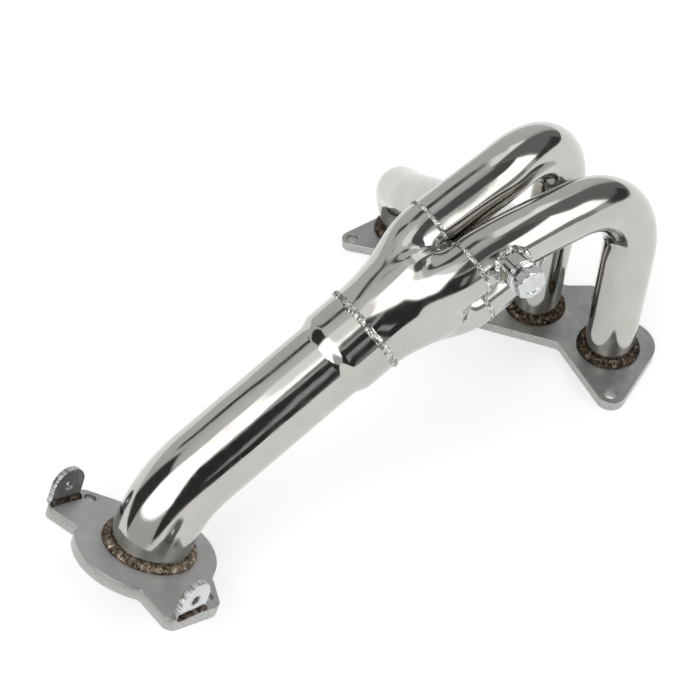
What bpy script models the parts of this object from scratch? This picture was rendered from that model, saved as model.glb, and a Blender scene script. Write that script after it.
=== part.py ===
"""Tubular 4-into-1 exhaust manifold for a four-cylinder engine.

Frame: the origin is the middle of the port row on the head flange's mating face. +X runs along the
port row from port 4 to port 1, +Z points away from the cylinder head, and the outlet lies towards -Y.
Each piece is one closed solid, and pieces that touch keep a hairline gap.
"""
import math

import bmesh
import bpy
from mathutils import Matrix, Vector

GAP = 0.0003

# Head flange and its studs
PORT_PITCH = 0.0812
HEAD_THICKNESS = 0.010
PORT_BORE_RADIUS = 0.0206
STUD_HOLE_RADIUS = 0.0055
FRONT_STUDS = [(-0.1490, -0.0463), (0.0, -0.0465), (0.1550, -0.0475)]
BACK_STUDS = [(-0.0812, 0.0450), (0.0812, 0.0450)]

# Primary tubes: 1-3/4 inch tube, one corner list for each route
PRIMARY_RADIUS = 0.022225
WALL = 0.0016
STUB = 0.014
WIDE_BEND = 0.086
SWEEP_BEND = 0.150

# Collector: four inlets in a square, one outlet
INLET_CENTRE = Vector((0.0477, -0.1558, 0.1794))
COLLECTOR_RISE = Vector((0.240, 0.917, 0.318)).normalized()
INLET_ROLL = math.radians(9.2)
INLET_OFFSET = PRIMARY_RADIUS + 0.0012
COLLECTOR_LENGTH = 0.0854
COLLECTOR_OUT_RADIUS = 0.0352
VALLEY_RADIUS = 0.0275

# Outlet: 2-1/2 inch pipe in a slip sleeve, and its tilted flange
PIPE_RADIUS = 0.03175
PIPE_BEND = 0.110
SLEEVE_RADIUS = 0.0352
SLEEVE_LENGTH = 0.038
OUTLET_CENTRE = Vector((-0.0185, -0.4296, 0.03652))
OUTLET_TILT = math.radians(32.1)
OUTLET_RUN = 0.044
OUTLET_THICKNESS = 0.010
OUTLET_BODY_RADIUS = 0.0557
OUTLET_BODY_Y = -0.003
OUTLET_BOLT = (0.0655, -0.0035)
OUTLET_BOLT_RADIUS = 0.0050

# Bracket tabs on the outlet flange
TAB_HALF_WIDTH = 0.0145
TAB_THICKNESS = 0.005
TAB_PLACES = {"left": (-0.0755, -0.0255, 0.0145), "right": (0.0695, -0.0300, 0.0120)}
TAB_HOLE_RADIUS = 0.0040

# Sensor bung and its plug
BUNG_RADIUS = 0.0125
BUNG_BORE = 0.0092
BUNG_HEIGHT = 0.012
BUNG_SETBACK = 0.0242
BUNG_DIRECTION = Vector((0.9155, -0.3880, 0.0970))
PLUG_SHANK_RADIUS = 0.0088
PLUG_FLANGE_RADIUS = 0.0130
PLUG_HEX_ACROSS = 0.0215
WASHER_THICKNESS = 0.0018

STEEL = ((0.78, 0.77, 0.75), 1.0, 0.10)
SATIN = ((0.56, 0.57, 0.57), 1.0, 0.38)
BURNT_WELD = ((0.20, 0.15, 0.11), 1.0, 0.45)
BRIGHT_WELD = ((0.62, 0.61, 0.59), 1.0, 0.30)
ZINC = ((0.86, 0.87, 0.88), 1.0, 0.16)
COPPER_WASHER = ((0.66, 0.63, 0.58), 1.0, 0.30)

X, Y, Z = Vector((1, 0, 0)), Vector((0, 1, 0)), Vector((0, 0, 1))


# ---------------------------------------------------------------- helpers

def clear_scene():
    for found in list(bpy.data.objects):
        bpy.data.objects.remove(found, do_unlink=True)


def finish_of(name, look):
    """One Principled material for the named piece."""
    colour, metallic, roughness = look
    made = bpy.data.materials.new(name)
    made.use_nodes = True
    shader = made.node_tree.nodes["Principled BSDF"]
    shader.inputs["Base Color"].default_value = (*colour, 1.0)
    shader.inputs["Metallic"].default_value = metallic
    shader.inputs["Roughness"].default_value = roughness
    return made


def skin(name, loops, look, closed=False, matrix=None):
    """A closed solid through loops of equal length; open ends are capped."""
    body = bmesh.new()
    rings = [[body.verts.new(point) for point in loop] for loop in loops]
    size = len(rings[0])
    pairs = list(zip(rings, rings[1:] + rings[:1])) if closed else list(zip(rings, rings[1:]))
    for low, high in pairs:
        for j in range(size):
            k = (j + 1) % size
            body.faces.new((low[j], low[k], high[k], high[j]))
    if not closed:
        body.faces.new(rings[0][::-1])
        body.faces.new(rings[-1])
    if body.calc_volume(signed=True) < 0:
        bmesh.ops.reverse_faces(body, faces=body.faces)
    mesh = bpy.data.meshes.new(name)
    body.to_mesh(mesh)
    body.free()
    mesh.shade_smooth()
    mesh.set_sharp_from_angle(angle=math.radians(35))
    made = bpy.data.objects.new(name, mesh)
    made.data.materials.append(finish_of(name, look))
    if matrix is not None:
        made.matrix_world = matrix
    bpy.context.collection.objects.link(made)
    return made


def rounded_route(corners, bends, step=math.radians(11)):
    """Points and directions along straight runs joined by bends of the given radii."""
    stations = []
    previous = corners[0]
    for corner, ahead, radius in zip(corners[1:-1], corners[2:], bends):
        arriving = (corner - previous).normalized()
        leaving = (ahead - corner).normalized()
        turn = arriving.angle(leaving)
        inward = (leaving - arriving * arriving.dot(leaving)).normalized()
        start = corner - arriving * radius * math.tan(turn / 2)
        centre = start + inward * radius
        if not stations:
            stations.append((previous.copy(), arriving))
        count = max(1, round(turn / step))
        for k in range(count + 1):
            angle = turn * k / count
            point = centre - inward * radius * math.cos(angle) + arriving * radius * math.sin(angle)
            stations.append((point, arriving * math.cos(angle) + inward * math.sin(angle)))
        previous = corner
    stations.append((corners[-1].copy(), (corners[-1] - corners[-2]).normalized()))
    return stations


def frames_along(stations):
    """Side and up vectors carried along a route without twist."""
    side = stations[0][1].orthogonal().normalized()
    frames = []
    for point, ahead in stations:
        side = (side - ahead * side.dot(ahead)).normalized()
        frames.append((point, side, ahead.cross(side)))
    return frames


def ring(centre, side, up, radius, count=20):
    angles = [2 * math.pi * k / count for k in range(count)]
    return [centre + side * radius * math.cos(a) + up * radius * math.sin(a) for a in angles]


def tube(name, stations, radius, look, count=20, bore=None):
    """A bent tube with open ends; without a bore it is a solid rod."""
    frames = frames_along(stations)
    outer = [ring(p, s, u, radius, count) for p, s, u in frames]
    if bore is None:
        return skin(name, outer, look)
    inner = [ring(p, s, u, bore, count) for p, s, u in frames]
    return skin(name, outer + inner[::-1], look, closed=True)


def turned(name, profile, look, origin, axis, count=24, closed=True):
    """A turned piece: (radius, height) points about an axis, as a ring or as a capped stack."""
    side = axis.orthogonal().normalized()
    up = axis.cross(side)
    loops = [ring(origin + axis * height, side, up, radius, count) for radius, height in profile]
    return skin(name, loops, look, closed=closed)


def arc_points(centre, radius, start, end, count):
    """Points on a plane arc, angles in degrees."""
    angles = [math.radians(start + (end - start) * k / count) for k in range(count + 1)]
    return [(centre[0] + radius * math.cos(a), centre[1] + radius * math.sin(a)) for a in angles]


def rounded_outline(corners, count=5):
    """A plane outline from (x, y, fillet radius) corners."""
    outline = []
    total = len(corners)
    for k, (x, y, radius) in enumerate(corners):
        here = Vector((x, y))
        before = (Vector(corners[k - 1][:2]) - here).normalized()
        after = (Vector(corners[(k + 1) % total][:2]) - here).normalized()
        half = before.angle(after) / 2
        reach = radius / math.tan(half)
        centre = here + (before + after).normalized() * radius / math.sin(half)
        start = here + before * reach - centre
        end = here + after * reach - centre
        turn = start.angle_signed(end)
        for j in range(count + 1):
            point = start.copy()
            point.rotate(Matrix.Rotation(-turn * j / count, 2))
            outline.append(tuple(centre + point))
    return outline


def plate(name, outline, holes, thickness, look, matrix=None):
    """A flat plate from z = 0 to its thickness, with its outline and holes cut square."""
    curve = bpy.data.curves.new(name, "CURVE")
    curve.dimensions = "2D"
    curve.fill_mode = "BOTH"
    curve.extrude = thickness / 2
    for loop in [outline] + holes:
        spline = curve.splines.new("POLY")
        spline.points.add(len(loop) - 1)
        for point, (x, y) in zip(spline.points, loop):
            point.co = (x, y, 0.0, 1.0)
        spline.use_cyclic_u = True
    made = bpy.data.objects.new(name, curve)
    made.data.materials.append(finish_of(name, look))
    made.matrix_world = (matrix or Matrix()) @ Matrix.Translation((0, 0, thickness / 2))
    bpy.context.collection.objects.link(made)
    return made


def hole(x, y, radius, count=14):
    return arc_points((x, y), radius, 0, 360 * (count - 1) / count, count - 1)


def fillet_weld(name, origin, axis, radius, throat, look, count=22):
    """A weld bead in the corner between a standing tube and a plate."""
    inner = radius + GAP
    profile = [
        (inner, GAP), (inner + throat, GAP), (inner + 0.90 * throat, 0.35 * throat),
        (inner + 0.45 * throat, 0.75 * throat), (inner, 0.95 * throat),
    ]
    return turned(name, profile, look, origin, axis, count)


# ---------------------------------------------------------------- layout

def inlet_axes():
    """Across and over directions of the collector's square of inlets."""
    level = COLLECTOR_RISE.cross(Z).normalized()
    raised = level.cross(COLLECTOR_RISE)
    across = level * math.cos(INLET_ROLL) - raised * math.sin(INLET_ROLL)
    over = level * math.sin(INLET_ROLL) + raised * math.cos(INLET_ROLL)
    return across, over


def inlet_points():
    """Inlet centre of each cylinder's tube: 1 and 2 above, 3 and 4 below."""
    across, over = inlet_axes()
    signs = {1: (1, 1), 2: (-1, 1), 3: (1, -1), 4: (-1, -1)}
    return {n: INLET_CENTRE + (across * a + over * o) * INLET_OFFSET for n, (a, o) in signs.items()}


def outlet_normal():
    return Vector((0, math.sin(OUTLET_TILT), math.cos(OUTLET_TILT)))


def collector_mouth():
    return INLET_CENTRE - COLLECTOR_RISE * COLLECTOR_LENGTH


def pipe_corner():
    return OUTLET_CENTRE + outlet_normal() * OUTLET_RUN


def pipe_direction():
    """Direction of the sleeve and the straight run of the downpipe."""
    return (pipe_corner() - collector_mouth()).normalized()


def port_x(number):
    return PORT_PITCH * (2.5 - number)


def primary_routes():
    """Stations of the four primary tubes, from the head flange to the collector."""
    mouths = {n: point + COLLECTOR_RISE * GAP / 2 for n, point in inlet_points().items()}
    bends = {
        1: ([Vector((0.1147, 0.0032, 0.2018)), Vector((0.0879, -0.1255, 0.2113))],
            [WIDE_BEND, SWEEP_BEND]),
        2: ([Vector((0.0441, 0.0004, 0.2340))], [0.080]),
        3: ([Vector((-0.0406, 0.0008, 0.0800))], [0.060]),
        4: ([Vector((-0.1266, -0.0084, 0.0666)), Vector((-0.0750, -0.0444, 0.1036))],
            [0.0485, 0.120]),
    }
    leads = {1: (0.010, 0.060), 2: (0.0665, 0.060), 3: (0.0628, 0.060), 4: (0.0485, 0.048)}
    routes = {}
    for number, (corners, radii) in bends.items():
        base = Vector((port_x(number), 0, HEAD_THICKNESS + GAP))
        reach, last_bend = leads[number]
        lead = mouths[number] + COLLECTOR_RISE * reach
        points = [base, base + Z * STUB] + corners + [lead, mouths[number]]
        routes[number] = rounded_route(points, [0.050] + radii + [last_bend])
    return routes


def distance_to_route(point, stations):
    """Shortest distance from a point to a route's centreline."""
    least = math.inf
    for (start, _), (end, _) in zip(stations, stations[1:]):
        run = end - start
        share = min(1.0, max(0.0, (point - start).dot(run) / run.length_squared))
        least = min(least, (point - start - run * share).length)
    return least


def seat_height(origin, axis, stations, reach):
    """How far along the axis the line leaves a tube of radius reach."""
    low, high = 0.0, 2 * PRIMARY_RADIUS
    for _ in range(30):
        middle = (low + high) / 2
        if distance_to_route(origin + axis * middle, stations) < reach:
            low = middle
        else:
            high = middle
    return high


# ---------------------------------------------------------------- pieces

def head_flange():
    corners = [
        (0.1705, -0.0680, 0.0130), (0.1554, 0.0425, 0.0300), (0.1120, 0.0420, 0.0100),
        (0.0925, 0.0590, 0.0110), (0.0700, 0.0590, 0.0110), (0.0480, 0.0395, 0.0120),
        (-0.0480, 0.0395, 0.0120), (-0.0700, 0.0590, 0.0110), (-0.0925, 0.0590, 0.0110),
        (-0.1120, 0.0420, 0.0080), (-0.1390, 0.0425, 0.0150), (-0.1640, -0.0625, 0.0095),
        (-0.0850, -0.0265, 0.0090), (0.0, -0.0590, 0.0130), (0.0860, -0.0265, 0.0090),
    ]
    bores = [hole(port_x(n), 0.0, PORT_BORE_RADIUS, 20) for n in (1, 2, 3, 4)]
    studs = [hole(x, y, STUD_HOLE_RADIUS) for x, y in FRONT_STUDS + BACK_STUDS]
    plate("head_flange", rounded_outline(corners), bores + studs, HEAD_THICKNESS, SATIN)


def primaries(routes, bung_seat, bung_axis):
    for number, stations in routes.items():
        made = tube(f"primary_tube_{number}", stations, PRIMARY_RADIUS, STEEL, bore=PRIMARY_RADIUS - WALL)
        if number == 1:
            side = bung_axis.orthogonal().normalized()
            up = bung_axis.cross(side)
            ends = [bung_seat + bung_axis * reach for reach in (0.004, 2 * PRIMARY_RADIUS)]
            drill = skin("sensor_hole_cutter", [ring(p, side, up, BUNG_BORE, 16) for p in ends], STEEL)
            drill.hide_render = True
            drill.display_type = "WIRE"
            cut = made.modifiers.new("sensor_hole", "BOOLEAN")
            cut.operation = "DIFFERENCE"
            cut.object = drill
        origin = Vector((port_x(number), 0, HEAD_THICKNESS))
        fillet_weld(f"port_weld_{number}", origin, Z, PRIMARY_RADIUS, 0.0078, BURNT_WELD)


def lobed_loop(depth, offset):
    """Collector section at a depth below the inlets, moved inward by offset."""
    across, over = inlet_axes()
    centre = INLET_CENTRE - COLLECTOR_RISE * depth
    share = min(1.0, depth / COLLECTOR_LENGTH)
    ahead = (COLLECTOR_RISE * (1 - share) - pipe_direction() * share).normalized()
    across = (across - ahead * across.dot(ahead)).normalized()
    over = across.cross(ahead)
    blend = share * share * (3 - 2 * share)
    merge = min(1.0, share / 0.62)
    merge = merge * merge * (3 - 2 * merge)
    web = min(1.0, max(0.0, share - 0.03) / 0.42)
    web = web * (1.5 - 0.5 * web * web)
    diagonal = INLET_OFFSET * math.sqrt(2)
    round_radius = 0.0500 + (COLLECTOR_OUT_RADIUS - 0.0500) * blend
    loop = []
    for quarter in range(4):
        for k in range(-5, 7):
            spread = math.radians(45 + 90 * quarter + 7.5 * k)
            if k == 6:
                lobe_x, lobe_y = VALLEY_RADIUS - 1.5 * offset, 0.0
            else:
                swing = math.radians(24 * k)
                lobe_x = diagonal + (PRIMARY_RADIUS - offset) * math.cos(swing)
                lobe_y = (PRIMARY_RADIUS - offset) * math.sin(swing)
            facing = math.radians(45 + 90 * quarter + (45 if k == 6 else 0))
            x = lobe_x * math.cos(facing) - lobe_y * math.sin(facing)
            y = lobe_x * math.sin(facing) + lobe_y * math.cos(facing)
            valley = min(1.0, max(0.0, (abs(k) - 2.5) / 3))
            pull = merge + (web - merge) * valley * valley * (3 - 2 * valley)
            x += ((round_radius - offset) * math.cos(spread) - x) * pull
            y += ((round_radius - offset) * math.sin(spread) - y) * pull
            loop.append(centre + across * x + over * y)
    return loop


def collector():
    depths = [GAP / 2] + [COLLECTOR_LENGTH * k / 9 for k in range(1, 9)] + [COLLECTOR_LENGTH - GAP / 2]
    outer = [lobed_loop(depth, 0.0) for depth in depths]
    inner = [lobed_loop(depth, WALL) for depth in depths]
    skin("collector", outer + inner[::-1], STEEL, closed=True)


def merge_plug():
    """The star-shaped plate that closes the space between the four tubes."""
    across, over = inlet_axes()
    reach = PRIMARY_RADIUS + GAP
    star = []
    for quarter in range(4):
        facing = 45 + 90 * quarter
        centre = (math.sqrt(2) * INLET_OFFSET * math.cos(math.radians(facing)),
                  math.sqrt(2) * INLET_OFFSET * math.sin(math.radians(facing)))
        star += arc_points(centre, reach, facing + 180 + 52, facing + 180 - 52, 8)
    loops = []
    for lift in (0.0010, 0.0040):
        level = INLET_CENTRE + COLLECTOR_RISE * lift
        loops.append([level + across * x + over * y for x, y in star])
    skin("collector_merge_plug", loops, STEEL)


def inlet_welds():
    """Beads over the joints between the primary tubes and the collector's lobes."""
    across, over = inlet_axes()
    facing = {1: 45, 2: 135, 4: 225, 3: 315}
    inner = PRIMARY_RADIUS + GAP
    profile = [(inner, 0.0030), (inner + 0.0014, 0.0022), (inner + 0.0019, 0.0),
               (inner + 0.0014, -0.0022), (inner, -0.0030)]
    for number, centre in inlet_points().items():
        loops = []
        for k in range(19):
            angle = math.radians(facing[number] - 110 + 220 * k / 18)
            out = across * math.cos(angle) + over * math.sin(angle)
            loops.append([centre + out * radius + COLLECTOR_RISE * lift for radius, lift in profile])
        skin(f"collector_inlet_weld_{number}", loops, BRIGHT_WELD)


def outlet_pipe():
    """The slip sleeve, its weld to the collector, and the downpipe."""
    down = pipe_direction()
    mouth = collector_mouth()
    outer, inner = SLEEVE_RADIUS, SLEEVE_RADIUS - WALL
    neck = PIPE_RADIUS + GAP
    profile = [
        (outer, GAP / 2), (outer, SLEEVE_LENGTH - 0.0120), (outer - 0.0004, SLEEVE_LENGTH - 0.0090),
        (outer - 0.0017, SLEEVE_LENGTH - 0.0040), (neck + 0.0010, SLEEVE_LENGTH - 0.0015),
        (neck + 0.0008, SLEEVE_LENGTH), (neck, SLEEVE_LENGTH), (neck, SLEEVE_LENGTH - 0.007),
        (inner, SLEEVE_LENGTH - 0.010), (inner, GAP / 2),
    ]
    turned("outlet_sleeve", profile, STEEL, mouth, down, 28)
    clear = COLLECTOR_OUT_RADIUS + 0.0008
    bead = [(clear, -0.0034), (clear + 0.0010, -0.0024), (clear + 0.0015, 0.0),
            (clear + 0.0010, 0.0024), (clear, 0.0034)]
    turned("collector_outlet_weld", bead, BRIGHT_WELD, mouth, down, 28)

    normal = outlet_normal()
    end = OUTLET_CENTRE + normal * GAP
    start = mouth + down * 0.008
    stations = rounded_route([start, pipe_corner(), end], [PIPE_BEND], math.radians(8))
    tube("downpipe", stations, PIPE_RADIUS, STEEL, 28, PIPE_RADIUS - WALL)
    fillet_weld("outlet_flange_weld", OUTLET_CENTRE, normal, PIPE_RADIUS, 0.0064, BURNT_WELD, 28)


def outlet_matrix():
    """Places the outlet flange's own plane, whose z = 0 is its upper face."""
    return Matrix.Translation(OUTLET_CENTRE) @ Matrix.Rotation(-OUTLET_TILT, 4, "X")


def outlet_flange():
    radius, middle = OUTLET_BODY_RADIUS, OUTLET_BODY_Y
    ears = {}
    for side, low in ((1, -0.0500), (-1, -0.0432)):
        corners = [
            (0.0, -0.0420, 0.0010), (0.0400, 0.0055 + low, 0.0060), (0.0745, low, 0.0080),
            (0.0785, -0.0010, 0.0090), (0.0545, 0.0160, 0.0080), (0.0, 0.0300, 0.0010),
        ]
        ears[side] = rounded_outline(corners, 4)[5:-5]
    back = arc_points((0, middle), radius, 26, 154, 16)
    front = arc_points((0, middle), radius, 229, 311, 11)
    outline = front + ears[1] + back + [(-x, y) for x, y in reversed(ears[-1])]
    bolt_x, bolt_y = OUTLET_BOLT
    holes = [hole(0, 0, PIPE_RADIUS - WALL, 28)]
    holes += [hole(side * bolt_x, bolt_y, OUTLET_BOLT_RADIUS) for side in (-1, 1)]
    lowered = outlet_matrix() @ Matrix.Translation((0, 0, -OUTLET_THICKNESS))
    plate("outlet_flange", outline, holes, OUTLET_THICKNESS, SATIN, lowered)


def bracket_tabs():
    """Two round-topped tabs that stand on the flange's ears, each with a bead along its foot."""
    half = TAB_HALF_WIDTH
    standing = Matrix(((0, 0, 1, 0), (1, 0, 0, 0), (0, 1, 0, 0), (0, 0, 0, 1)))
    for name, (inner_x, middle, rise) in TAB_PLACES.items():
        outline = [(-half, GAP), (half, GAP)] + arc_points((0, rise), half, 0, 180, 12)
        place = outlet_matrix() @ Matrix.Translation((inner_x, middle, 0)) @ standing
        plate(f"bracket_tab_{name}", outline, [hole(0, rise, TAB_HOLE_RADIUS)], TAB_THICKNESS, ZINC, place)
        face_x = inner_x + TAB_THICKNESS + GAP
        profile = [(face_x, GAP), (face_x + 0.0034, GAP), (face_x + 0.0030, 0.0018),
                   (face_x + 0.0014, 0.0034), (face_x, 0.0038)]
        if name == "right":
            profile = [(face_x + 0.6 * (x - face_x), z) for x, z in profile]
        ends = [middle - half - 0.001, middle - half / 2, middle + half / 2, middle + half + 0.001]
        loops = [[outlet_matrix() @ Vector((x, y, z)) for x, z in profile] for y in ends]
        skin(f"tab_weld_{name}", loops, BURNT_WELD)


def sensor_port(stations, seat, axis):
    """Bung, weld, sealing washer and hexagon plug on the first primary tube."""
    side = stations[-1][1].cross(axis).normalized()
    up = axis.cross(side)
    count = 24
    reach = PRIMARY_RADIUS + GAP

    def saddle(radius, lift=0.0):
        loop = []
        for point in ring(seat, side, up, radius, count):
            loop.append(point + axis * (seat_height(point, axis, stations, reach) + lift))
        return loop

    top = PRIMARY_RADIUS + BUNG_HEIGHT
    flat = [ring(seat + axis * top, side, up, r, count) for r in (BUNG_RADIUS, BUNG_BORE)]
    skin("sensor_bung", [saddle(BUNG_RADIUS)] + flat + [saddle(BUNG_BORE)], STEEL, closed=True)
    inner = BUNG_RADIUS + GAP
    bead = [saddle(inner), saddle(inner + 0.0038), saddle(inner + 0.0030, 0.0022), saddle(inner, 0.0036)]
    skin("sensor_bung_weld", bead, BRIGHT_WELD, closed=True)

    under = top + GAP
    over = under + WASHER_THICKNESS
    washer = [(BUNG_BORE + 0.0002, under), (BUNG_RADIUS + 0.0002, under),
              (BUNG_RADIUS + 0.0002, over), (BUNG_BORE + 0.0002, over)]
    turned("plug_sealing_washer", washer, COPPER_WASHER, seat, axis, count)

    foot = over + GAP
    heights = [
        (PLUG_SHANK_RADIUS - 0.0010, top - 0.0110), (PLUG_SHANK_RADIUS, top - 0.0100),
        (PLUG_SHANK_RADIUS, foot), (PLUG_FLANGE_RADIUS, foot), (PLUG_FLANGE_RADIUS, foot + 0.0016),
        (PLUG_FLANGE_RADIUS - 0.0012, foot + 0.0026),
    ]
    loops = [ring(seat + axis * height, side, up, radius, count) for radius, height in heights]
    for height in (foot + 0.0028, foot + 0.0110):
        loop = []
        for k in range(count):
            angle = 2 * math.pi * k / count
            facet = (angle % (math.pi / 3)) - math.pi / 6
            radius = PLUG_HEX_ACROSS / 2 / math.cos(facet)
            out = side * math.cos(angle) + up * math.sin(angle)
            loop.append(seat + axis * height + out * radius)
        loops.append(loop)
    skin("sensor_port_plug", loops, ZINC)


def bung_place(stations):
    """Centreline point under the bung, and the bung's axis square to the tube there."""
    left = BUNG_SETBACK
    for (near, _), (far, _) in zip(stations[::-1], stations[-2::-1]):
        run = far - near
        if run.length >= left:
            break
        left -= run.length
    ahead = run.normalized()
    axis = BUNG_DIRECTION - ahead * BUNG_DIRECTION.dot(ahead)
    return near + ahead * left, axis.normalized()


def main():
    clear_scene()
    routes = primary_routes()
    seat, axis = bung_place(routes[1])
    head_flange()
    primaries(routes, seat, axis)
    collector()
    merge_plug()
    inlet_welds()
    outlet_pipe()
    outlet_flange()
    bracket_tabs()
    sensor_port(routes[1], seat, axis)


main()
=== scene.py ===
import math

import bpy
import numpy as np
from mathutils import Matrix, Vector, noise


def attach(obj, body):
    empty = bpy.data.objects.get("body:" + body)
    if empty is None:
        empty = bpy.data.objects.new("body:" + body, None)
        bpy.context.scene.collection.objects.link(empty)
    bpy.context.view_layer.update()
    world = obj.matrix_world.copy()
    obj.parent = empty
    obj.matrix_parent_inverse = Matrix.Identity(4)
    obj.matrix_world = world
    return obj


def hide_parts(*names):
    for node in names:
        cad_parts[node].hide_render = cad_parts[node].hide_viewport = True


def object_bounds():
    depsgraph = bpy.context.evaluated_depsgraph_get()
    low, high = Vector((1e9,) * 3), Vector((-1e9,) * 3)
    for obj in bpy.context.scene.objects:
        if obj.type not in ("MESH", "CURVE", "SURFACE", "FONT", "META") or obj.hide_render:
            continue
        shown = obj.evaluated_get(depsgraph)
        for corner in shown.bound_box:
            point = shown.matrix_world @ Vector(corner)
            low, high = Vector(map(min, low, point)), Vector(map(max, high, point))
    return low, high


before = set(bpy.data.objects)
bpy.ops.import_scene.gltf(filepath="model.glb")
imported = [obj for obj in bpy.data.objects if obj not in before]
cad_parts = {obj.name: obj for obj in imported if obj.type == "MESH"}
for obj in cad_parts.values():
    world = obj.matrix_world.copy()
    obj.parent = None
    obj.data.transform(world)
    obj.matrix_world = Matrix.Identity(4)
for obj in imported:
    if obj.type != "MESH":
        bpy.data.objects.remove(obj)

cad_box = [list(corner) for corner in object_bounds()]

# ------------------------------------------------------------------ sizes in metres, the same as the CAD's
GAP = 0.0003
PORT_PITCH = 0.0812
HEAD_THICKNESS = 0.010
PORT_BORE_RADIUS = 0.0206
STUD_HOLE_RADIUS = 0.0055
FRONT_STUDS = [(-0.1490, -0.0463), (0.0, -0.0465), (0.1550, -0.0475)]
BACK_STUDS = [(-0.0812, 0.0450), (0.0812, 0.0450)]
PRIMARY_RADIUS = 0.022225
WALL = 0.0016
STUB = 0.014
INLET_CENTRE = Vector((0.0477, -0.1558, 0.1794))
COLLECTOR_RISE = Vector((0.240, 0.917, 0.318)).normalized()
INLET_ROLL = math.radians(9.2)
INLET_OFFSET = PRIMARY_RADIUS + 0.0012
COLLECTOR_LENGTH = 0.0854
COLLECTOR_OUT_RADIUS = 0.0352
COLLECTOR_IN_RADIUS = 0.0500
VALLEY_RADIUS = 0.0275
LOBES_END = 0.62
WEB_START, WEB_LENGTH = 0.03, 0.42
PIPE_RADIUS = 0.03175
PIPE_BEND = 0.110
SLEEVE_RADIUS = 0.0352
SLEEVE_LENGTH = 0.038
SHOULDER_START, SHOULDER_LENGTH = 0.0260, 0.0118
PIPE_LAP = 0.008
OUTLET_CENTRE = Vector((-0.0185, -0.4296, 0.03652))
OUTLET_TILT = math.radians(32.1)
OUTLET_RUN = 0.044
OUTLET_THICKNESS = 0.010
OUTLET_BODY_RADIUS = 0.0557
OUTLET_BODY_Y = -0.003
OUTLET_BOLT = (0.0655, -0.0035)
OUTLET_BOLT_RADIUS = 0.0050
TAB_HALF_WIDTH = 0.0145
TAB_THICKNESS = 0.005
TAB_PLACES = {"left": (-0.0755, -0.0255, 0.0145), "right": (0.0695, -0.0300, 0.0120)}
TAB_HOLE_RADIUS = 0.0040
BUNG_RADIUS = 0.0125
BUNG_BORE = 0.0092
BUNG_HEIGHT = 0.012
BUNG_SETBACK = 0.0242
BUNG_DIRECTION = Vector((0.9155, -0.3880, 0.0970))
PLUG_SHANK_RADIUS = 0.0088
PLUG_FLANGE_RADIUS = 0.0130
PLUG_HEX_ACROSS = 0.0215
PLUG_SHANK_DEPTH = 0.0110
PLUG_HEAD_HEIGHT = 0.0110
WASHER_THICKNESS = 0.0018
X, Z = Vector((1, 0, 0)), Vector((0, 0, 1))

# Weld beads: leg of a corner bead, or (width, height) of a bead that lies on a surface.
PORT_WELD_LEG = 0.0066
OUTLET_WELD_LEG = 0.0056
INLET_BEAD = (0.0036, 0.0009)
JOINT_BEAD = (0.0056, 0.0010)
BUNG_BEAD = (0.0052, 0.0013)
TAB_BEADS = {"left": (0.0050, 0.0013), "right": (0.0032, 0.0010)}

# Creases inside each primary tube's bends: (place along the tube, depth).
CREASES = {
    1: [(0.150, 0.0006), (0.160, 0.0008), (0.171, 0.0005)],
    2: [(0.205, 0.0006), (0.216, 0.0004)],
    3: [(0.075, 0.0006)],
    4: [(0.062, 0.0009), (0.071, 0.0006), (0.255, 0.0008)],
}


# ------------------------------------------------------------------ routes and places
def rounded_route(corners, bends, step=math.radians(1.5)):
    """A route through corners with a bend radius for each, as (point, direction) stations."""
    stations = []
    previous = corners[0]
    for corner, ahead, radius in zip(corners[1:-1], corners[2:], bends):
        arriving = (corner - previous).normalized()
        leaving = (ahead - corner).normalized()
        turn = arriving.angle(leaving)
        inward = (leaving - arriving * arriving.dot(leaving)).normalized()
        start = corner - arriving * radius * math.tan(turn / 2)
        centre = start + inward * radius
        if not stations:
            stations.append((previous.copy(), arriving))
        count = max(1, round(turn / step))
        for k in range(count + 1):
            angle = turn * k / count
            point = centre - inward * radius * math.cos(angle) + arriving * radius * math.sin(angle)
            stations.append((point, arriving * math.cos(angle) + inward * math.sin(angle)))
        previous = corner
    stations.append((corners[-1].copy(), (corners[-1] - corners[-2]).normalized()))
    return stations


def spaced(stations, spacing=0.0030):
    """The same route with extra stations along its straight runs."""
    filled = [stations[0]]
    for (start, first), (end, last) in zip(stations, stations[1:]):
        count = max(1, round((end - start).length / spacing))
        for k in range(1, count + 1):
            share = k / count
            filled.append((start.lerp(end, share), first.lerp(last, share).normalized()))
    return filled


def frames_along(stations):
    """(point, side, up, direction) at each station, turning as little as possible."""
    side = stations[0][1].orthogonal().normalized()
    frames = []
    for point, ahead in stations:
        side = (side - ahead * side.dot(ahead)).normalized()
        frames.append((point, side, ahead.cross(side), ahead))
    return frames


def inlet_axes():
    """The two axes across the collector's inlets."""
    level = COLLECTOR_RISE.cross(Z).normalized()
    raised = level.cross(COLLECTOR_RISE)
    across = level * math.cos(INLET_ROLL) - raised * math.sin(INLET_ROLL)
    over = level * math.sin(INLET_ROLL) + raised * math.cos(INLET_ROLL)
    return across, over


def inlet_points():
    """Where each primary tube enters the collector, by port number."""
    across, over = inlet_axes()
    signs = {1: (1, 1), 2: (-1, 1), 3: (1, -1), 4: (-1, -1)}
    return {n: INLET_CENTRE + (across * a + over * o) * INLET_OFFSET for n, (a, o) in signs.items()}


def outlet_normal():
    return Vector((0, math.sin(OUTLET_TILT), math.cos(OUTLET_TILT)))


def outlet_matrix():
    """Places the outlet flange's own plane, whose z = 0 is its upper face."""
    return Matrix.Translation(OUTLET_CENTRE) @ Matrix.Rotation(-OUTLET_TILT, 4, "X")


def collector_mouth():
    return INLET_CENTRE - COLLECTOR_RISE * COLLECTOR_LENGTH


def pipe_corner():
    return OUTLET_CENTRE + outlet_normal() * OUTLET_RUN


def pipe_direction():
    return (pipe_corner() - collector_mouth()).normalized()


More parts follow.
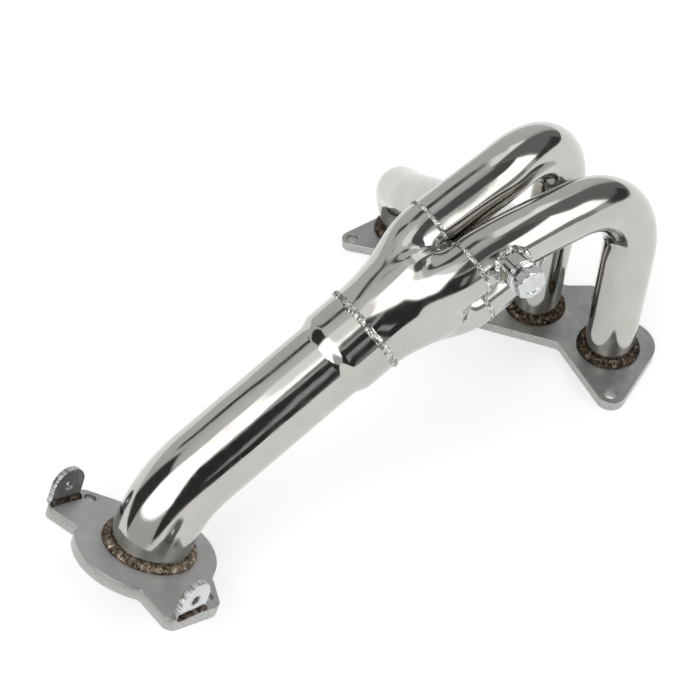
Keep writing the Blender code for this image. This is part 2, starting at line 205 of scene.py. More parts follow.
def port_x(number):
    return PORT_PITCH * (2.5 - number)


def primary_routes():
    """Each tube rises from its port, bends over, and enters the collector along its axis."""
    mouths = {n: point + COLLECTOR_RISE * GAP / 2 for n, point in inlet_points().items()}
    bends = {
        1: ([Vector((0.1147, 0.0032, 0.2018)), Vector((0.0879, -0.1255, 0.2113))],
            [0.086, 0.150]),
        2: ([Vector((0.0441, 0.0004, 0.2335))], [0.080]),
        3: ([Vector((-0.0406, 0.0008, 0.0800))], [0.060]),
        4: ([Vector((-0.1266, -0.0084, 0.0666)), Vector((-0.0750, -0.0444, 0.1036))],
            [0.0485, 0.120]),
    }
    leads = {1: (0.010, 0.060), 2: (0.0665, 0.060), 3: (0.0628, 0.060), 4: (0.0485, 0.048)}
    routes = {}
    for number, (corners, radii) in bends.items():
        base = Vector((port_x(number), 0, HEAD_THICKNESS + GAP))
        reach, last_bend = leads[number]
        lead = mouths[number] + COLLECTOR_RISE * reach
        points = [base, base + Z * STUB] + corners + [lead, mouths[number]]
        routes[number] = rounded_route(points, [0.050] + radii + [last_bend])
    return routes


def bung_place(stations):
    """The sensor bung's place on the first tube: point, outward axis and the tube's direction."""
    left = BUNG_SETBACK
    for (near, _), (far, _) in zip(stations[::-1], stations[-2::-1]):
        run = far - near
        if run.length >= left:
            break
        left -= run.length
    ahead = run.normalized()
    axis = BUNG_DIRECTION - ahead * BUNG_DIRECTION.dot(ahead)
    return near + ahead * left, axis.normalized(), ahead


# ------------------------------------------------------------------ materials
class Nodes:
    """A short way to write a material's node tree."""

    def __init__(self, tree):
        self.tree = tree

    def add(self, kind, inputs=None, **settings):
        node = self.tree.nodes.new(kind)
        for key, value in settings.items():
            setattr(node, key, value)
        for key, value in (inputs or {}).items():
            if isinstance(value, bpy.types.NodeSocket):
                self.tree.links.new(value, node.inputs[key])
            else:
                node.inputs[key].default_value = value
        return node

    def math(self, operation, a, b=0.0):
        return self.add("ShaderNodeMath", {0: a, 1: b}, operation=operation).outputs[0]

    def fit(self, value, low, high, to_low, to_high, smooth=False):
        inputs = {"Value": value, "From Min": low, "From Max": high, "To Min": to_low, "To Max": to_high}
        node = self.add("ShaderNodeMapRange", inputs)
        if smooth:
            node.interpolation_type = "SMOOTHSTEP"
        return node.outputs[0]

    def ramp(self, value, stops):
        node = self.add("ShaderNodeValToRGB", {"Fac": value})
        for k, (place, colour) in enumerate(stops):
            if k < 2:
                element = node.color_ramp.elements[k]
            else:
                element = node.color_ramp.elements.new(place)
            element.position = place
            element.color = (*colour, 1.0)
        return node.outputs["Color"]

    def noise(self, where, scale, detail=4.0, rough=0.55, stretch=None):
        if stretch:
            where = self.add("ShaderNodeMapping", {"Vector": where, "Scale": stretch}).outputs[0]
        node = self.add("ShaderNodeTexNoise", {"Vector": where, "Scale": scale, "Detail": detail,
                                               "Roughness": rough})
        return node.outputs["Fac"]


def metal(name, stops, tone_scale, rough, rough_scale, bumps, stretch=None, metallic=1.0):
    """A metal: tones over noise, roughness over noise, and a stack of (scale, detail, depth) bumps."""
    made = bpy.data.materials.new(name)
    made.use_nodes = True
    nodes = Nodes(made.node_tree)
    shader = made.node_tree.nodes["Principled BSDF"]
    shader.inputs["Metallic"].default_value = metallic
    where = nodes.add("ShaderNodeTexCoord").outputs["Object"]
    tone = nodes.noise(where, tone_scale, 5.0, 0.6, stretch)
    made.node_tree.links.new(nodes.ramp(tone, stops), shader.inputs["Base Color"])
    grain = nodes.noise(where, rough_scale, 6.0, 0.65, stretch)
    spread = nodes.fit(grain, 0.35, 0.68, rough[0], rough[1])
    made.node_tree.links.new(spread, shader.inputs["Roughness"])
    below = None
    for scale, detail, depth in bumps:
        height = nodes.noise(where, scale, detail, 0.6, stretch)
        inputs = {"Height": height, "Strength": 1.0, "Distance": depth}
        if below is not None:
            inputs["Normal"] = below
        below = nodes.add("ShaderNodeBump", inputs).outputs["Normal"]
    if below is not None:
        made.node_tree.links.new(below, shader.inputs["Normal"])
    return made


polished = metal(
    "polished_stainless",
    [(0.30, (0.475, 0.462, 0.435)), (0.70, (0.54, 0.527, 0.50))], 22.0,
    (0.05, 0.15), 60.0, [(15.0, 1.0, 0.0013), (55.0, 1.0, 0.00010), (900.0, 3.0, 0.000006)])
satin = metal(
    "satin_plate",
    [(0.32, (0.24, 0.245, 0.24)), (0.50, (0.32, 0.325, 0.32)), (0.72, (0.38, 0.37, 0.345))], 26.0,
    (0.32, 0.48), 150.0, [(700.0, 4.0, 0.00004)], metallic=0.70)
pale_satin = metal(
    "satin_outlet_plate",
    [(0.30, (0.36, 0.365, 0.36)), (0.50, (0.44, 0.445, 0.44)), (0.72, (0.50, 0.50, 0.49))], 30.0,
    (0.42, 0.58), 150.0, [(700.0, 4.0, 0.00005)], metallic=0.45)
sawn_edge = metal(
    "sawn_tab_edge",
    [(0.35, (0.22, 0.22, 0.215)), (0.52, (0.52, 0.52, 0.51)), (0.70, (0.78, 0.78, 0.77))], 210.0,
    (0.18, 0.34), 300.0, [(330.0, 2.0, 0.0007)], stretch=(0.35, 2.2, 2.2))
cut_edge = metal(
    "laser_cut_edge",
    [(0.35, (0.34, 0.34, 0.33)), (0.65, (0.52, 0.51, 0.49))], 300.0,
    (0.22, 0.40), 400.0, [(260.0, 2.0, 0.00012)], stretch=(6.0, 6.0, 0.6))
burnt = metal(
    "heat_tinted_weld",
    [(0.38, (0.020, 0.015, 0.012)), (0.54, (0.085, 0.062, 0.044)), (0.72, (0.34, 0.29, 0.23))], 260.0,
    (0.20, 0.42), 380.0, [(900.0, 5.0, 0.00016)], metallic=0.9)
bronze = metal(
    "straw_tinted_weld",
    [(0.36, (0.045, 0.034, 0.024)), (0.52, (0.20, 0.155, 0.11)), (0.70, (0.52, 0.47, 0.40))], 240.0,
    (0.18, 0.38), 380.0, [(900.0, 5.0, 0.00014)], metallic=0.95)
bright = metal(
    "bright_weld",
    [(0.34, (0.10, 0.095, 0.085)), (0.50, (0.42, 0.41, 0.39)), (0.66, (0.88, 0.875, 0.86))], 230.0,
    (0.12, 0.30), 300.0, [(800.0, 4.0, 0.00012)])
zinc = metal(
    "bright_zinc",
    [(0.35, (0.56, 0.575, 0.59)), (0.68, (0.68, 0.69, 0.70))], 90.0,
    (0.10, 0.22), 240.0, [(420.0, 3.0, 0.00003)])
# Darker metal for the tab threads, and for the left tab's plate as painted shade: that tab is shaded by the
# pipe, while the right tab takes the brighter zinc.
machined_and_shaded = metal(
    "machined_thread_and_shaded_tab",
    [(0.35, (0.30, 0.305, 0.31)), (0.68, (0.48, 0.485, 0.49))], 120.0,
    (0.22, 0.36), 260.0, [(520.0, 4.0, 0.00006)])


# ------------------------------------------------------------------ mesh making
def eased(share):
    return share * share * (3 - 2 * share)


def piece(name, points, faces, material, nodes, sharp=32.0):
    """A closed mesh that faces out, inside the CAD's box, and stands for the CAD nodes named."""
    points = np.clip(np.asarray(points, dtype=float), cad_box[0], cad_box[1])
    volume = 0.0
    for face in faces:
        a = points[face[0]]
        for k in range(1, len(face) - 1):
            volume += float(np.dot(a, np.cross(points[face[k]], points[face[k + 1]])))
    if volume < 0:
        faces = [face[::-1] for face in faces]
    mesh = bpy.data.meshes.new(name)
    mesh.from_pydata([tuple(p) for p in points], [], faces)
    mesh.materials.append(material)
    mesh.shade_smooth()
    mesh.set_sharp_from_angle(angle=math.radians(sharp))
    made = bpy.data.objects.new(name, mesh)
    bpy.context.collection.objects.link(made)
    adopt(made, nodes)


def adopt(made, nodes):
    """Ties a piece to its body and hides the CAD nodes that it stands for."""
    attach(made, "root")
    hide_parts(*nodes)


def skin(name, loops, material, nodes, closed=False, sharp=32.0):
    """A surface through loops of points: capped at both ends, or closed from last loop to first."""
    size = len(loops[0])
    points = [tuple(p) for loop in loops for p in loop]
    faces = []
    count = len(loops)
    for i in range(count if closed else count - 1):
        low, high = i * size, ((i + 1) % count) * size
        for j in range(size):
            k = (j + 1) % size
            faces.append((low + j, low + k, high + k, high + j))
    if not closed:
        faces.append(tuple(range(size))[::-1])
        faces.append(tuple(range((count - 1) * size, count * size)))
    piece(name, points, faces, material, nodes, sharp)


def ring(centre, side, up, radius, count):
    angles = [2 * math.pi * k / count for k in range(count)]
    return [centre + side * radius * math.cos(a) + up * radius * math.sin(a) for a in angles]


def turned(name, profile, material, nodes, origin, axis, count=96, sharp=32.0):
    """A closed profile of (radius, height) turned round an axis."""
    side = axis.orthogonal().normalized()
    up = axis.cross(side)
    loops = [ring(origin + axis * height, side, up, radius, count) for radius, height in profile]
    skin(name, loops, material, nodes, closed=True, sharp=sharp)


def bent_tube(name, stations, radius, node, count=80, creases=()):
    """A bent tube. Creases are shallow ripples on the inside of a bend: (place along, depth)."""
    stations = spaced(stations)
    frames = frames_along(stations)
    travelled = [0.0]
    for (p, _), (q, _) in zip(stations, stations[1:]):
        travelled.append(travelled[-1] + (q - p).length)
    outer, inner = [], []
    for i, (point, side, up, ahead) in enumerate(frames):
        before, after = frames[max(0, i - 1)][3], frames[min(len(frames) - 1, i + 1)][3]
        bend = after - before
        inward = bend.normalized() if bend.length > 1e-5 else Vector((0, 0, 0))
        loop = []
        for k in range(count):
            angle = 2 * math.pi * k / count
            out = side * math.cos(angle) + up * math.sin(angle)
            dent = 0.0
            for place, depth in creases:
                offset = (travelled[i] - place) / 0.0035
                if abs(offset) < 5 and out.dot(inward) > 0:
                    dent += depth * out.dot(inward) ** 6 * math.exp(-offset * offset / 2)
            loop.append(point + out * (radius - dent))
        outer.append(loop)
        inner.append(ring(point, side, up, radius - WALL, count))
    skin(name, outer + inner[::-1], polished, [node], closed=True, sharp=40)


def bead(name, spine, width, height, material, nodes, closed=True, pitch=0.0028, lump=0.35, seed=0.0,
         across=13, sink=0.0012):
    """A rippled weld bead over a spine of (point, outward normal, sideways direction)."""
    travelled = 0.0
    loops = []
    for i, (point, normal, side) in enumerate(spine):
        if i:
            travelled += (point - spine[i - 1][0]).length
        swell = 1 + 0.14 * noise.noise(point * 190 + Vector((seed, 0, 0)))
        loop = []
        for k in range(across):
            t = -1 + 2 * k / (across - 1)
            dome = max(0.0, 1 - t * t) ** 0.62
            phase = travelled / pitch + 0.55 * t * t + 0.5 * noise.noise(point * 120 + Vector((0, seed, 0)))
            step = phase - math.floor(phase)
            ripple = 0.52 + 0.56 * (1 - step) ** 1.3
            spot = point + side * t * 0.004
            rough = 1 + lump * noise.noise(spot * 700 + Vector((seed, seed, 0)))
            rise = height * dome * ripple * rough * swell
            edge = 1 + 0.16 * noise.noise(point * 420 + Vector((seed, t * 3, 7)))
            loop.append(point + side * (t * width / 2 * edge) + normal * rise)
        loop.append(point + side * (width * 0.30) - normal * sink)
        loop.append(point - side * (width * 0.30) - normal * sink)
        loops.append(loop)
    skin(name, loops, material, nodes, closed=closed, sharp=75)


def fillet_bead(name, origin, axis, radius, leg, material, nodes, count=420, seed=0.0):
    """A rippled bead in the corner between a standing tube and a plate."""
    side = axis.orthogonal().normalized()
    up = axis.cross(side)
    spine = []
    for k in range(count):
        angle = 2 * math.pi * k / count
        out = side * math.cos(angle) + up * math.sin(angle)
        point = origin + out * (radius + leg / 2) + axis * (leg / 2)
        spine.append((point, (out + axis).normalized(), (axis - out).normalized()))
    turns = 2 * math.pi * (radius + leg / 2)
    pitch = turns / round(turns / 0.0026)
    bead(name, spine, leg * 1.35, 0.0016, material, nodes, pitch=pitch, lump=0.40, seed=seed, across=15,
         sink=leg * 0.30)


def arc_points(centre, radius, start, end, count):
    """Points of an arc in a plane, from one angle to another in degrees."""
    angles = [math.radians(start + (end - start) * k / count) for k in range(count + 1)]
    return [(centre[0] + radius * math.cos(a), centre[1] + radius * math.sin(a)) for a in angles]


def rounded_outline(corners, count=12):
    """A closed outline through corners of (x, y, rounding radius)."""
    outline = []
    total = len(corners)
    for k, (x, y, radius) in enumerate(corners):
        here = Vector((x, y))
        before = (Vector(corners[k - 1][:2]) - here).normalized()
        after = (Vector(corners[(k + 1) % total][:2]) - here).normalized()
        half = before.angle(after) / 2
        reach = radius / math.tan(half)
        centre = here + (before + after).normalized() * radius / math.sin(half)
        start = here + before * reach - centre
        end = here + after * reach - centre
        turn = start.angle_signed(end)
        for j in range(count + 1):
            point = start.copy()
            point.rotate(Matrix.Rotation(-turn * j / count, 2))
            outline.append(tuple(centre + point))
    return outline


def hole(x, y, radius, count=40):
    return arc_points((x, y), radius, 0, 360 * (count - 1) / count, count - 1)


def plate(name, outline, holes, thickness, material, edge, node, matrix=None, round_off=0.0005):
    """A plate with broken edges, whose cut sides take the edge material."""
    curve = bpy.data.curves.new(name, "CURVE")
    curve.dimensions = "2D"
    curve.fill_mode = "BOTH"
    curve.bevel_depth = round_off
    curve.bevel_resolution = 2
    curve.offset = -round_off
    curve.extrude = thickness / 2 - round_off
    for loop in [outline] + holes:
        spline = curve.splines.new("POLY")
        spline.points.add(len(loop) - 1)
        for point, (x, y) in zip(spline.points, loop):
            point.co = (x, y, 0.0, 1.0)
        spline.use_cyclic_u = True
    holder = bpy.data.objects.new(name + "_outline", curve)
    bpy.context.collection.objects.link(holder)
    mesh = bpy.data.meshes.new_from_object(holder.evaluated_get(bpy.context.evaluated_depsgraph_get()))
    bpy.data.objects.remove(holder, do_unlink=True)
    mesh.name = name
    mesh.materials.clear()
    mesh.materials.append(material)
    mesh.materials.append(edge)
    for face in mesh.polygons:
        face.material_index = 0 if abs(face.normal.z) > 0.98 else 1
    mesh.transform((matrix or Matrix()) @ Matrix.Translation((0, 0, thickness / 2)))
    mesh.shade_smooth()
    mesh.set_sharp_from_angle(angle=math.radians(28))
    made = bpy.data.objects.new(name, mesh)
    bpy.context.collection.objects.link(made)
    adopt(made, [node])


# ------------------------------------------------------------------ pieces
def head_flange():
    """The plate against the cylinder head, with four ports and five stud holes."""
    corners = [
        (0.1705, -0.0680, 0.0130), (0.1554, 0.0425, 0.0300), (0.1120, 0.0420, 0.0100),
        (0.0925, 0.0590, 0.0110), (0.0700, 0.0590, 0.0110), (0.0480, 0.0395, 0.0120),
        (-0.0480, 0.0395, 0.0120), (-0.0700, 0.0590, 0.0110), (-0.0925, 0.0590, 0.0110),
        (-0.1120, 0.0420, 0.0080), (-0.1390, 0.0425, 0.0150), (-0.1640, -0.0625, 0.0095),
        (-0.0850, -0.0265, 0.0090), (0.0, -0.0590, 0.0130), (0.0860, -0.0265, 0.0090),
    ]
    bores = [hole(port_x(n), 0.0, PORT_BORE_RADIUS, 80) for n in (1, 2, 3, 4)]
    studs = [hole(x, y, STUD_HOLE_RADIUS) for x, y in FRONT_STUDS + BACK_STUDS]
    lowest, highest = cad_box[0][0], cad_box[1][0]
    outline = [(min(max(x, lowest), highest), y) for x, y in rounded_outline(corners)]
    plate("head_flange_plate", outline, bores + studs, HEAD_THICKNESS, satin, cut_edge, "head_flange")


def primaries(routes):
    for number, stations in routes.items():
        bent_tube(f"primary_{number}_pipe", stations, PRIMARY_RADIUS, f"primary_tube_{number}", 88,
                  CREASES[number])
        origin = Vector((port_x(number), 0, HEAD_THICKNESS))
        fillet_bead(f"port_{number}_bead", origin, Z, PRIMARY_RADIUS + 0.0001, PORT_WELD_LEG, burnt,
                    [f"port_weld_{number}"], seed=11.0 * number)


def lobe_point(reach, offset):
    """A point of the section round one tube, whose centre is out along x. Reach runs from -6 to 6."""
    radius = PRIMARY_RADIUS - offset
    swing = math.radians(24 * min(5.0, abs(reach)))
    x = INLET_OFFSET * math.sqrt(2) + radius * math.cos(swing)
    y = radius * math.sin(swing)
    past = abs(reach) - 5
    if past > 0:
        valley = (VALLEY_RADIUS - 1.5 * offset) * math.sqrt(0.5)
        x += (valley - x) * past
        y += (valley - y) * past
    return x, math.copysign(y, reach)


def lobed_loop(depth, offset, fine=8):
    """Collector section at a depth below the inlets, moved inward by offset: four lobes become round."""
    across, over = inlet_axes()
    centre = INLET_CENTRE - COLLECTOR_RISE * depth
    share = min(1.0, depth / COLLECTOR_LENGTH)
    ahead = (COLLECTOR_RISE * (1 - share) - pipe_direction() * share).normalized()
    across = (across - ahead * across.dot(ahead)).normalized()
    over = across.cross(ahead)
    narrowing = (COLLECTOR_IN_RADIUS - COLLECTOR_OUT_RADIUS) * eased(share)
    round_radius = COLLECTOR_IN_RADIUS - narrowing - offset
    merge = eased(min(1.0, share / LOBES_END))
    web = min(1.0, max(0.0, share - WEB_START) / WEB_LENGTH)
    web = web * (1.5 - 0.5 * web * web)
    loop = []
    last = 6 * fine
    for quarter in range(4):
        facing = math.radians(45 + 90 * quarter)
        for k in range(-last + 1, last + 1):
            reach = k / fine
            lobe_x, lobe_y = lobe_point(reach, offset)
            x = lobe_x * math.cos(facing) - lobe_y * math.sin(facing)
            y = lobe_x * math.sin(facing) + lobe_y * math.cos(facing)
            spread = facing + math.radians(45 * k / last)
            in_valley = eased(min(1.0, max(0.0, (abs(reach) - 2.5) / 3)))
            pull = merge + (web - merge) * in_valley
            x += (round_radius * math.cos(spread) - x) * pull
            y += (round_radius * math.sin(spread) - y) * pull
            loop.append(centre + across * x + over * y)
    return loop


def collector():
    count = 72
    depths = [GAP / 2 + (COLLECTOR_LENGTH - GAP) * k / count for k in range(count + 1)]
    outer = [lobed_loop(depth, 0.0) for depth in depths]
    inner = [lobed_loop(depth, WALL) for depth in depths[::6]]
    skin("collector_body", outer + inner[::-1], polished, ["collector"], closed=True, sharp=48)


def merge_plug():
    """The star-shaped plate between the four tubes, with its edges broken."""
    across, over = inlet_axes()
    reach = PRIMARY_RADIUS + GAP
    star = []
    for quarter in range(4):
        facing = 45 + 90 * quarter
        centre = (math.sqrt(2) * INLET_OFFSET * math.cos(math.radians(facing)),
                  math.sqrt(2) * INLET_OFFSET * math.sin(math.radians(facing)))
        star += arc_points(centre, reach, facing + 180 + 52, facing + 180 - 52, 24)
    loops = []
    for lift in (0.0010, 0.0014, 0.0036, 0.0040):
        level = INLET_CENTRE + COLLECTOR_RISE * lift
        trim = 0.985 if lift in (0.0010, 0.0040) else 1.0
        loops.append([level + (across * x + over * y) * trim for x, y in star])
    skin("merge_star", loops, bright, ["collector_merge_plug"])


def inlet_welds():
    """A bead on the outer side of each tube, where it meets the collector."""
    across, over = inlet_axes()
    facing = {1: 45, 2: 135, 4: 225, 3: 315}
    for number, centre in inlet_points().items():
        spine = []
        for k in range(241):
            angle = math.radians(facing[number] - 111 + 222 * k / 240)
            out = across * math.cos(angle) + over * math.sin(angle)
            wander = 0.0006 * noise.noise(Vector((angle * 2.2, number * 3.1, 0)))
            point = centre + out * (PRIMARY_RADIUS + 0.0002) + COLLECTOR_RISE * wander
            spine.append((point, out, COLLECTOR_RISE))
        bead(f"inlet_{number}_bead", spine, *INLET_BEAD, bright, [f"collector_inlet_weld_{number}"],
             closed=False, pitch=0.0023, lump=0.5, seed=5.0 * number, across=11, sink=0.0006)


def sleeve(mouth, down):
    """The slip sleeve, whose shoulder runs down on to the pipe."""
    outer, inner = SLEEVE_RADIUS, SLEEVE_RADIUS - WALL
    neck = PIPE_RADIUS + GAP
    sunk = PIPE_RADIUS - 0.0003
    profile = [(outer, GAP / 2)]
    profile += [(outer, SLEEVE_LENGTH * k / 12) for k in range(1, 8)]
    for k in range(17):
        share = k / 16
        radius = outer - (outer - PIPE_RADIUS - 0.0001) * eased(share)
        profile.append((radius, SHOULDER_START + SHOULDER_LENGTH * share))
    profile += [(sunk, SLEEVE_LENGTH), (sunk, SLEEVE_LENGTH - 0.004), (neck, SLEEVE_LENGTH - 0.007),
                (inner, SLEEVE_LENGTH - 0.010), (inner, GAP / 2)]
    turned("slip_sleeve", profile, polished, ["outlet_sleeve"], mouth, down, 120, sharp=40)


def joint_weld(mouth, down):
    """The bead round the joint of the collector and the sleeve."""
    side = down.orthogonal().normalized()
    up = down.cross(side)
    spine = []
    count = 560
    for k in range(count):
        angle = 2 * math.pi * k / count
        out = side * math.cos(angle) + up * math.sin(angle)
        wander = 0.0007 * noise.noise(Vector((math.cos(angle), math.sin(angle), 3)) * 2.5)
        spine.append((mouth + out * (SLEEVE_RADIUS + 0.0002) + down * wander, out, down))
    bead("outlet_joint_bead", spine, *JOINT_BEAD, bright, ["collector_outlet_weld"],
         pitch=2 * math.pi * SLEEVE_RADIUS / 64, lump=0.55, seed=3.0, across=15)


def outlet_pipe():
    down = pipe_direction()
    mouth = collector_mouth()
    sleeve(mouth, down)
    joint_weld(mouth, down)
    normal = outlet_normal()
    corners = [mouth + down * PIPE_LAP, pipe_corner(), OUTLET_CENTRE + normal * GAP]
    bent_tube("outlet_downpipe", rounded_route(corners, [PIPE_BEND]), PIPE_RADIUS, "downpipe", 112)
    fillet_bead("outlet_flange_bead", OUTLET_CENTRE, normal, PIPE_RADIUS + 0.0001, OUTLET_WELD_LEG, bronze,
                ["outlet_flange_weld"], 560, seed=71.0)


def outlet_flange():
    """A round plate with two ears, each with a bolt hole. The right ear reaches further forward."""
    radius, middle = OUTLET_BODY_RADIUS, OUTLET_BODY_Y
    ears = {}
    for side, low in ((1, -0.0500), (-1, -0.0432)):
        corners = [
            (0.0, -0.0420, 0.0010), (0.0400, 0.0055 + low, 0.0060), (0.0745, low, 0.0080),
            (0.0785, -0.0010, 0.0090), (0.0545, 0.0160, 0.0080), (0.0, 0.0300, 0.0010),
        ]
        ears[side] = rounded_outline(corners)[13:-13]
    back = arc_points((0, middle), radius, 26, 154, 48)
    front = arc_points((0, middle), radius, 229, 311, 33)
    outline = front + ears[1] + back + [(-x, y) for x, y in reversed(ears[-1])]
    bolt_x, bolt_y = OUTLET_BOLT
    holes = [hole(0, 0, PIPE_RADIUS - WALL, 100)]
    holes += [hole(side * bolt_x, bolt_y, OUTLET_BOLT_RADIUS) for side in (-1, 1)]
    lowered = outlet_matrix() @ Matrix.Translation((0, 0, -OUTLET_THICKNESS))
    plate("outlet_flange_plate", outline, holes, OUTLET_THICKNESS, pale_satin, cut_edge, "outlet_flange",
          lowered)


def tab_thread(name, place, rise):
    """The rings of a thread inside a tab's hole."""
    turns = 6
    bottom, top = 0.0002, TAB_THICKNESS - 0.0002
    root, crest, back = TAB_HOLE_RADIUS - 0.00005, TAB_HOLE_RADIUS - 0.00055, TAB_HOLE_RADIUS - 0.00001
    profile = []
    for k in range(turns):
        low = bottom + k * (top - bottom) / turns
        profile += [(root, low), (crest, low + (top - bottom) / turns / 2)]
    profile += [(root, top), (back, top), (back, bottom)]
    turned(f"tab_{name}_thread", profile, machined_and_shaded, [], place @ Vector((0, rise, 0)), X, 48, sharp=20)


def bracket_tabs():
    """Two upright tabs on the outlet flange, each with a threaded hole and a bead at its foot."""
    half = TAB_HALF_WIDTH
    standing = Matrix(((0, 0, 1, 0), (1, 0, 0, 0), (0, 1, 0, 0), (0, 0, 0, 1)))
    for name, (inner_x, middle, rise) in TAB_PLACES.items():
        outline = [(-half, GAP), (half, GAP)] + arc_points((0, rise), half, 0, 180, 40)
        place = outlet_matrix() @ Matrix.Translation((inner_x, middle, 0)) @ standing
        # The left tab's plate takes the darker metal as painted shade; the right tab's plate takes bright
        # zinc.
        plate(f"tab_{name}_plate", outline, [hole(0, rise, TAB_HOLE_RADIUS)], TAB_THICKNESS,
              machined_and_shaded if name == "left" else zinc, sawn_edge, f"bracket_tab_{name}", place, 0.0004)
        tab_thread(name, place, rise)
        foot_x = inner_x + TAB_THICKNESS + 0.0013
        spine = []
        for k in range(121):
            y = middle - half - 0.0005 + (2 * half + 0.001) * k / 120
            spine.append((outlet_matrix() @ Vector((foot_x, y, 0.0013)),
                          (outlet_normal() + X).normalized(), (outlet_normal() - X).normalized()))
        bead(f"tab_{name}_bead", spine, *TAB_BEADS[name], burnt, [f"tab_weld_{name}"], closed=False,
             pitch=0.0024, lump=0.6, seed=31.0, across=11, sink=0.0010)


def distance_to_route(point, stations):
    least = math.inf
    for (start, _), (end, _) in zip(stations, stations[1:]):
        run = end - start
        share = min(1.0, max(0.0, (point - start).dot(run) / run.length_squared))
        least = min(least, (point - start - run * share).length)
    return least


def seat_height(origin, axis, stations, reach):
    """How far along the axis the origin has to move to lie at the given distance from the route."""
    low, high = 0.0, 2 * PRIMARY_RADIUS
    for _ in range(22):
        middle = (low + high) / 2
        if distance_to_route(origin + axis * middle, stations) < reach:
            low = middle
        else:
            high = middle
    return high


def sensor_port(stations):
    """The bung on the first tube, its weld, and the plug that closes it."""
    seat, axis, ahead = bung_place(stations)
    near = [s for s in stations if (s[0] - seat).length < 0.06]
    side = ahead.cross(axis).normalized()
    up = axis.cross(side)
    count = 96
    top = PRIMARY_RADIUS + BUNG_HEIGHT
    bung(seat, axis, side, up, near, top, count)

    spine = []
    for point in ring(seat, side, up, BUNG_RADIUS + 0.0013, 300):
        height = seat_height(point, axis, near, PRIMARY_RADIUS)
        out = (point - seat).normalized()
        spine.append((point + axis * (height + 0.0014), (out + axis).normalized(),
                      (axis - out).normalized()))
    bead("bung_bead", spine, *BUNG_BEAD, bright, ["sensor_bung_weld"], pitch=0.0034, lump=0.9, seed=41.0)

    under = top + GAP
    over = under + WASHER_THICKNESS
    inner, outer = BUNG_BORE + 0.0002, BUNG_RADIUS + 0.0002
    washer = [(inner, under), (outer - 0.0004, under), (outer, under + 0.0004), (outer, over - 0.0004),
              (outer - 0.0004, over), (inner, over)]
    turned("washer_ring", washer, zinc, ["plug_sealing_washer"], seat, axis, count)
    hexagon_plug(seat, axis, side, up, top, over + GAP, count)


def bung(seat, axis, side, up, near, top, count):
    """A threaded boss whose foot follows the tube that it stands on."""
    def saddle(radius):
        return [point + axis * seat_height(point, axis, near, PRIMARY_RADIUS + GAP)
                for point in ring(seat, side, up, radius, count)]

    upper = [(BUNG_RADIUS, top - 0.0007), (BUNG_RADIUS - 0.0007, top), (BUNG_BORE + 0.0006, top),
             (BUNG_BORE, top - 0.0006)]
    flat = [ring(seat + axis * height, side, up, radius, count) for radius, height in upper]
    skin("bung_body", [saddle(BUNG_RADIUS)] + flat + [saddle(BUNG_BORE)], polished, ["sensor_bung"],
         closed=True, sharp=40)


def hexagon_plug(seat, axis, side, up, top, foot, count):
    """A shank, a round flange and a hexagon whose corners are cut back by a cone."""
    wide = PLUG_FLANGE_RADIUS
    stack = [(PLUG_SHANK_RADIUS - 0.0010, top - PLUG_SHANK_DEPTH),
             (PLUG_SHANK_RADIUS, top - PLUG_SHANK_DEPTH + 0.0010),
             (PLUG_SHANK_RADIUS, foot), (wide - 0.0004, foot), (wide, foot + 0.0004),
             (wide, foot + 0.0013), (wide - 0.0005, foot + 0.0018), (wide - 0.0014, foot + 0.0024)]
    loops = [ring(seat + axis * height, side, up, radius, count) for radius, height in stack]
    crown = foot + PLUG_HEAD_HEIGHT
    chamfer = 0.0030
    heights = [foot + 0.0028] + [crown - chamfer + chamfer * k / 10 for k in range(11)]
    for height in heights:
        cone = PLUG_HEX_ACROSS / 2 * 0.985 + (crown - height) * 1.75
        loop = []
        for k in range(count):
            angle = 2 * math.pi * k / count
            facet = (angle % (math.pi / 3)) - math.pi / 6
            radius = min(PLUG_HEX_ACROSS / 2 / math.cos(facet), cone)
            loop.append(seat + axis * height + (side * math.cos(angle) + up * math.sin(angle)) * radius)
        loops.append(loop)
    for radius, height in ((0.0070, crown), (0.0066, crown - 0.0005), (0.0050, crown - 0.0007)):
        loops.append(ring(seat + axis * height, side, up, radius, count))
    skin("hexagon_plug", loops, zinc, ["sensor_port_plug"], sharp=24)


routes = primary_routes()
head_flange()
primaries(routes)
collector()
merge_plug()
inlet_welds()
outlet_pipe()
outlet_flange()
bracket_tabs()
sensor_port(routes[1])


# ------------------------------------------------------------------ floor, light and camera
FLOOR_REACH = 14.0


def floor_plane():
    """Plain white paper that gives off a little light, so that shadows stay faint."""
    mesh = bpy.data.meshes.new("studio_floor")
    far = FLOOR_REACH
    mesh.from_pydata([(-far, -far, 0), (far, -far, 0), (far, far, 0), (-far, far, 0)], [], [(0, 1, 2, 3)])
    paper = bpy.data.materials.new("studio_paper")
    paper.use_nodes = True
    shader = paper.node_tree.nodes["Principled BSDF"]
    shader.inputs["Base Color"].default_value = (0.62, 0.62, 0.62, 1)
    shader.inputs["Roughness"].default_value = 0.9
    shader.inputs["Specular IOR Level"].default_value = 0.1
    shader.inputs["Emission Color"].default_value = (1, 1, 1, 1)
    shader.inputs["Emission Strength"].default_value = 0.56
    mesh.materials.append(paper)
    floor = bpy.data.objects.new("studio_floor", mesh)
    bpy.context.collection.objects.link(floor)


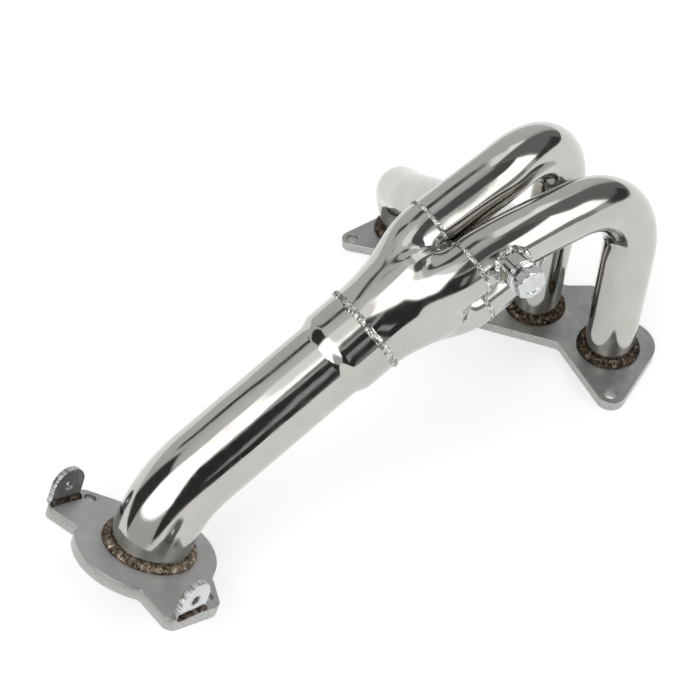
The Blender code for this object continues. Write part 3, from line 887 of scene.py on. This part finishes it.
# Panels of the light tent: (azimuth from, to, elevation from, to, soft edge, brightness), in degrees.
# Azimuth is measured from +Y towards +X. A later panel covers an earlier one.
BASE_LIGHT = 0.60
PANELS = [
    (-112, -14, -4, 84, 9, 0.68),
    (-62, -8, 58, 82, 8, 1.25),
    (-30, -8, 42, 60, 6, 1.35),
    (-7, 40, -6, 90, 8, 0.20),
    (10, 46, 0, 14, 6, 0.06),
    (40, 142, 52, 84, 8, 0.12),
    (42, 97, 14, 52, 3, 2.1),
    (58, 112, -3, 13, 4, 0.32),
    (105, 149, 0, 47, 3, 0.04),
    (113, 120, 14, 34, 3, 0.42),
    (202, 254, 44, 82, 26, 0.80),
    (148, 224, 61, 79, 4, 1.20),
    (147, 211, 18, 63, 5, 2.3),
    (-147, -113, -2, 44, 4, 0.05),
    (-101, -94, 28, 50, 3, 0.05),
    (-96, -70, 50, 66, 5, 0.10),
]


def studio_world():
    """Light and dark panels round the object, which the camera itself sees as plain white."""
    world = bpy.data.worlds.new("light_tent")
    bpy.context.scene.world = world
    world.use_nodes = True
    tree = world.node_tree
    nodes = Nodes(tree)
    background = tree.nodes["Background"]
    where = nodes.add("ShaderNodeTexCoord").outputs["Generated"]
    split = nodes.add("ShaderNodeSeparateXYZ", {0: where})
    azimuth = nodes.math("DEGREES", nodes.math("ARCTAN2", split.outputs[0], split.outputs[1]))
    elevation = nodes.math("DEGREES", nodes.math("ARCSINE", split.outputs[2]))
    light = BASE_LIGHT
    for start, end, low, high, soft, level in PANELS:
        middle, half = (start + end) / 2, (end - start) / 2
        turned_by = nodes.math("WRAP", nodes.math("SUBTRACT", azimuth, middle), 180.0)
        turned_by.node.inputs[2].default_value = -180.0
        beside = nodes.math("ABSOLUTE", turned_by)
        mask = nodes.fit(beside, half - soft / 2, half + soft / 2, 1.0, 0.0, True)
        above = nodes.math("ABSOLUTE", nodes.math("SUBTRACT", elevation, (low + high) / 2))
        span = (high - low) / 2
        level_mask = nodes.fit(above, span - soft / 2, span + soft / 2, 1.0, 0.0, True)
        mask = nodes.math("MULTIPLY", mask, level_mask)
        mixed = nodes.add("ShaderNodeMix", {0: mask, 2: light, 3: level})
        light = mixed.outputs[0]
    seen = nodes.add("ShaderNodeLightPath").outputs["Is Camera Ray"]
    final = nodes.add("ShaderNodeMix", {0: seen, 2: light, 3: 1.0})
    tree.links.new(final.outputs[0], background.inputs["Strength"])
    background.inputs["Color"].default_value = (1.0, 1.0, 1.0, 1.0)


CAMERA_PLACE = Vector((0.40477, -0.68612, 0.78041))
CAMERA_LENS = 58.59


def camera():
    data = bpy.data.cameras.new("camera")
    data.sensor_width = 36.0
    data.lens = CAMERA_LENS
    data.clip_start, data.clip_end = 0.05, 100.0
    made = bpy.data.objects.new("camera", data)
    right = Vector((0.75151, 0.6597, 0.00498))
    down = Vector((0.4921, -0.55552, -0.67025))
    forward = Vector((-0.4394, 0.50615, -0.74212))
    turn = Matrix((right, -down, -forward)).transposed()
    made.matrix_world = Matrix.Translation(CAMERA_PLACE) @ turn.to_4x4()
    bpy.context.collection.objects.link(made)
    bpy.context.scene.camera = made


floor_plane()
studio_world()
camera()
bpy.context.scene.view_settings.view_transform = "Standard"
